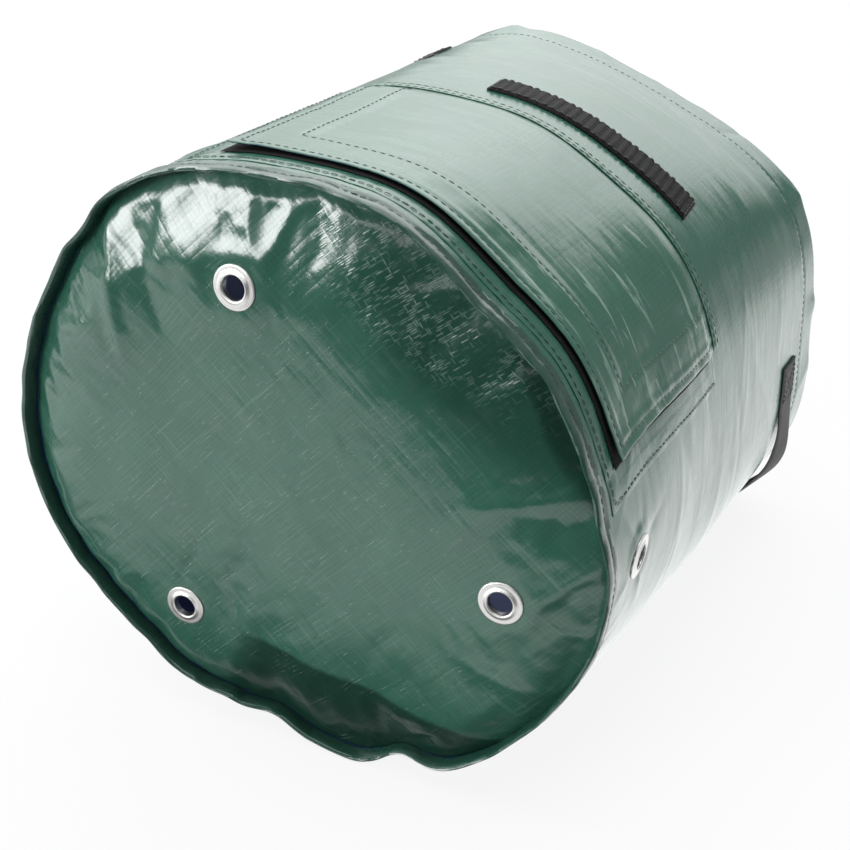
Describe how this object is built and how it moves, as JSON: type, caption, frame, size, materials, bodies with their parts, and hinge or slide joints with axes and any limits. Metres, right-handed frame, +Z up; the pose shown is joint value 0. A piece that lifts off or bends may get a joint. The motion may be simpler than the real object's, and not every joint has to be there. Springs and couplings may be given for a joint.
{
  "type": "fabric grow bag",
  "caption": "Round woven-tarpaulin planter with a rest lip, metal drainage eyelets, webbing carry handles and a hook-and-loop harvest flap over a window.",
  "frame": {"origin": "centre of the seam lip's lower edge, in the plane the bag stands on", "axes": "+Z up along the bag's axis towards the open top, -Y towards the harvest flap, +X towards the right handle as seen from the flap side"},
  "size_m": [0.3534, 0.3055, 0.35],
  "materials": {
    "tarpaulin": "glossy laminated weave",
    "lining": "glossy laminated weave, inner face",
    "webbing": "ribbed matt webbing",
    "hook_tape": "moulded hooks on woven tape",
    "loop_tape": "brushed loop pile",
    "eyelet": "satin, pressed",
    "thread": "waxed polyester thread",
    "thread_black": "waxed polyester thread"
  },
  "bodies": {
    "bag": {"wall_panel": "tarpaulin", "base_panel": "tarpaulin", "rim_binding": "tarpaulin", "window_facing": "tarpaulin", "loop_tape_left": "loop_tape", "loop_tape_right": "loop_tape", "loop_tape_bottom": "loop_tape", "flap_header": "tarpaulin", "keeper_strip": "hook_tape", "handle_right_ends": "webbing", "handle_left_ends": "webbing", "base_eyelets": "eyelet", "base_eyelet_washers": "eyelet", "side_eyelets": "eyelet", "side_eyelet_washers": "eyelet", "rim_stitching": "thread", "top_hem_stitching": "thread", "back_seam_stitching": "thread", "facing_stitching": "thread", "header_stitching": "thread", "keeper_stitching": "thread_black", "handle_right_stitching": "thread_black", "handle_left_stitching": "thread_black"},
    "flap": {"flap_panel": "tarpaulin", "hook_tape_left": "hook_tape", "hook_tape_right": "hook_tape", "hook_tape_bottom": "hook_tape", "flap_stitching": "thread"},
    "handle_right": {"handle_right_strap": "webbing"},
    "handle_left": {"handle_left_strap": "webbing"}
  },
  "joints": [
    {"name": "flap_hinge", "type": "hinge", "parent": "bag", "child": "flap", "pos_m": [0, -0.1543, 0.1588], "axis": [-1, 0, 0], "range_deg": [0, 110]},
    {"name": "handle_right_swing", "type": "hinge", "parent": "bag", "child": "handle_right", "pos_m": [0.1464, 0, 0.298], "axis": [0, 1, 0], "range_deg": [-50, 50]},
    {"name": "handle_left_swing", "type": "hinge", "parent": "bag", "child": "handle_left", "pos_m": [-0.1464, 0, 0.298], "axis": [0, 1, 0], "range_deg": [-50, 50]}
  ]
}
